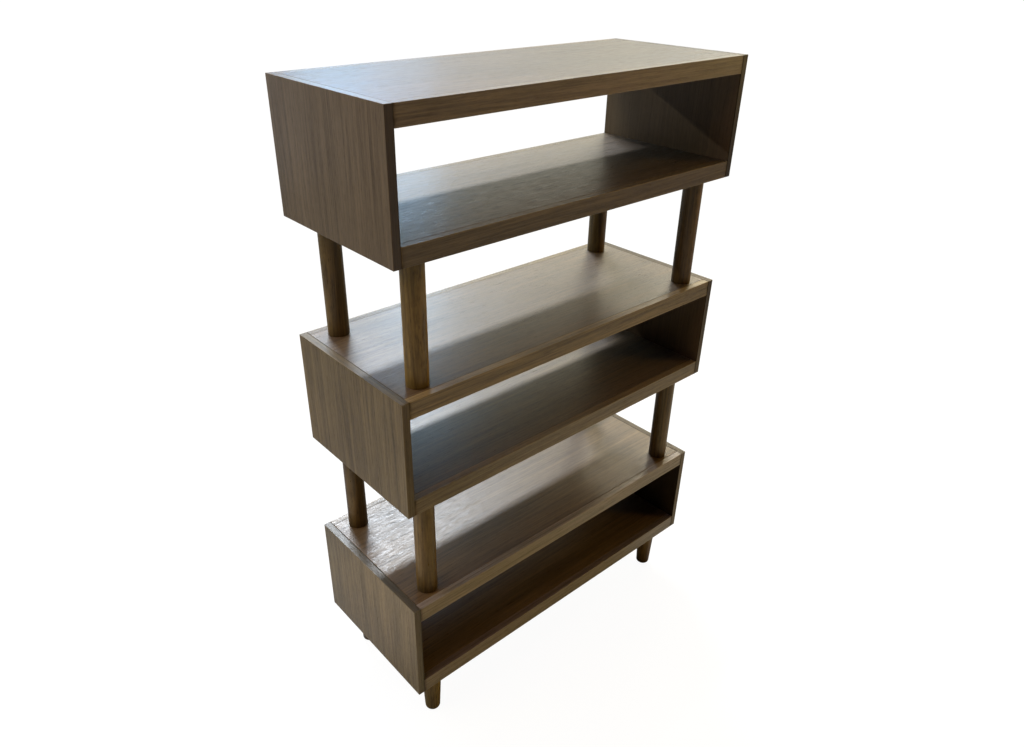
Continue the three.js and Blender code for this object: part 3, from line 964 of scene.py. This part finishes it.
# Panels close by: the plane they lie in (axis and place), then the first and the second span in it, and the colour.
# "floor" panels lie on the floor and shine up, as a sunlit floor does.
NEAR = (
    ("back_a", "y", 1.3, -1.0, -0.5, 1.0, 1.5, (0.40, 0.45, 0.60)),
    ("back_b", "y", 1.3, -0.5, -0.2, 1.0, 1.5, (0.50, 0.36, 0.20)),
    ("back_c", "y", 1.3, 0.1, 0.4, 1.5, 2.1, (0.66, 1.09, 1.23)),
    ("back_d", "y", 1.3, 0.1, 0.4, 2.1, 2.7, (3.47, 6.63, 12.05)),
    ("back_e", "y", 1.3, 0.4, 0.711, 1.0, 1.5, (3.58, 5.48, 7.28)),
    ("back_f", "y", 1.3, 0.4, 0.711, 1.5, 2.1, (1.11, 1.37, 1.59)),
    ("back_slot", "y", 1.3, -2.4, -1.2, 1.98, 2.01, (170.0, 192.0, 232.0)),
    ("wall_low", "y", 1.3, 0.711, 2.0, 1.0, 1.5, (1.69, 1.51, 1.00)),
    ("wall_high", "y", 1.3, 0.711, 2.0, 1.5, 2.7, (0.84, 0.82, 0.69)),
    ("wall_far", "y", 1.3, 2.0, 4.0, 2.0, 2.7, (1.79, 1.85, 1.77)),
    ("ceiling_left", "z", 2.8, -2.5, -0.8, -1.0, 0.5, (2.90, 2.10, 2.10)),
    ("ceiling_back", "z", 2.8, -2.5, 0.8, 0.5, 1.3, (2.64, 3.36, 5.15)),
    ("ceiling_right", "z", 2.8, 0.8, 2.5, 0.5, 1.3, (3.80, 4.21, 3.65)),
    ("side_wall", "x", 3.0, -3.0, 1.3, 1.2, 2.5, (2.10, 1.45, 0.45)),
    ("lamp_front", "front", -1.5, 1.4, 1.9, 0.9, 1.35, (1.40, 0.50, 0.33)),
    ("floor_front", "floor", 0.003, -0.9, 2.2, -1.1, -0.25, (0.46, 0.34, 0.13)),
    ("floor_left", "floor", 0.003, -2.2, -0.7, -0.45, 0.5, (0.84, 0.57, 0.22)))
world = bpy.data.worlds.new("studio")
bpy.context.scene.world = world
world.use_nodes = True
w = Nodes(world.node_tree)
w_out = w.new("ShaderNodeOutputWorld")
w_bg = w.new("ShaderNodeBackground")
w_plain = w.new("ShaderNodeBackground")
w_mix = w.new("ShaderNodeMixShader")
w_path = w.new("ShaderNodeLightPath")
w_co = w.new("ShaderNodeTexCoord")
w_sep = w.new("ShaderNodeSeparateXYZ")
w.link(w_co.outputs["Generated"], w_sep.inputs[0])
azimuth = w.math("DEGREES", w.math("ARCTAN2", w_sep.outputs[0], w_sep.outputs[1]))
about_x = w.math("DEGREES", w.math("ARCTAN2", w_sep.outputs[2], w_sep.outputs[1]))
elevation = w.math("DEGREES", w.math("ARCSINE", w_sep.outputs[2]))


def between(value, a, b, soft):
    return w.math("MULTIPLY", w.step(value, a - soft, a + soft), w.step(value, b + soft, b - soft))


total = None
for kind, a0, a1, e0, e1, colour in FAR:
    angle, soft = (about_x, 0.5) if kind == "strip" else (elevation, 1.0)
    mask = w.math("MULTIPLY", between(azimuth, a0, a1, 1.5), between(angle, e0, e1, soft))
    lit = w.new("ShaderNodeVectorMath", operation="SCALE")
    lit.inputs[0].default_value = colour
    w.link(mask, lit.inputs["Scale"])
    if total is None:
        total = lit.outputs[0]
    else:
        add = w.new("ShaderNodeVectorMath", operation="ADD")
        w.link(total, add.inputs[0])
        w.link(lit.outputs[0], add.inputs[1])
        total = add.outputs[0]
w.link(total, w_bg.inputs["Color"])
w_plain.inputs["Color"].default_value = (0.97, 0.97, 0.97, 1)
w.link(w_path.outputs["Is Camera Ray"], w_mix.inputs[0])
w.link(w_bg.outputs[0], w_mix.inputs[1])
w.link(w_plain.outputs[0], w_mix.inputs[2])
w.link(w_mix.outputs[0], w_out.inputs["Surface"])

for name, wall, at, u0, u1, v0, v1, colour in NEAR:
    data = bpy.data.lights.new("panel_" + name, "AREA")
    data.shape = "RECTANGLE"
    data.size, data.size_y = u1 - u0, v1 - v0
    strength = max(colour)
    data.color = times(colour, 1 / strength)
    data.energy = math.pi * data.size * data.size_y * strength
    panel = bpy.data.objects.new("panel_" + name, data)
    u, v = (u0 + u1) / 2, (v0 + v1) / 2
    # A panel shines along its own -Z: a wall at +Y or +X shines back over the bookcase, and the ceiling down on it.
    if wall == "y":
        panel.location, panel.rotation_euler = (u, at, v), (-math.pi / 2, 0, 0)
    elif wall == "front":
        panel.location, panel.rotation_euler = (u, at, v), (math.pi / 2, 0, 0)
    elif wall == "x":
        panel.location, panel.rotation_euler = (at, u, v), (math.pi / 2, 0, math.pi / 2)
    elif wall == "floor":
        panel.location, panel.rotation_euler = (u, v, at), (math.pi, 0, 0)
    else:
        panel.location = (u, v, at)
    panel.visible_camera = False
    panel.visible_glossy = name != "back_slot"
    bpy.context.scene.collection.objects.link(panel)

# ------------------------------------------------------------------ camera
cam_data = bpy.data.cameras.new("camera")
cam = bpy.data.objects.new("camera", cam_data)
bpy.context.scene.collection.objects.link(cam)
cam_data.sensor_width = 36.0
cam_data.lens = 27.2593
cam_data.shift_x = 0.0144923
cam_data.shift_y = 0.0113633
cam_data.clip_start = 0.05
cam_data.clip_end = 300.0
turn = Matrix(
    (
        (0.7567127068738289, 0.3206496381060767, -0.5697101796862374),
        (-0.6536769681709075, 0.3839184883141462, -0.6521602683493307),
        (0.009607316928946175, 0.8659043849715872, 0.500117281793385),
    )
)
cam.matrix_world = Matrix.Translation((-1.1980782533549323, -1.2799199409105264, 1.7647940187540045)) @ turn.to_4x4()
bpy.context.scene.camera = cam

view = bpy.context.scene.view_settings
view.view_transform = "Standard"
view.look = "None"
view.exposure = 0.0
view.gamma = 1.0
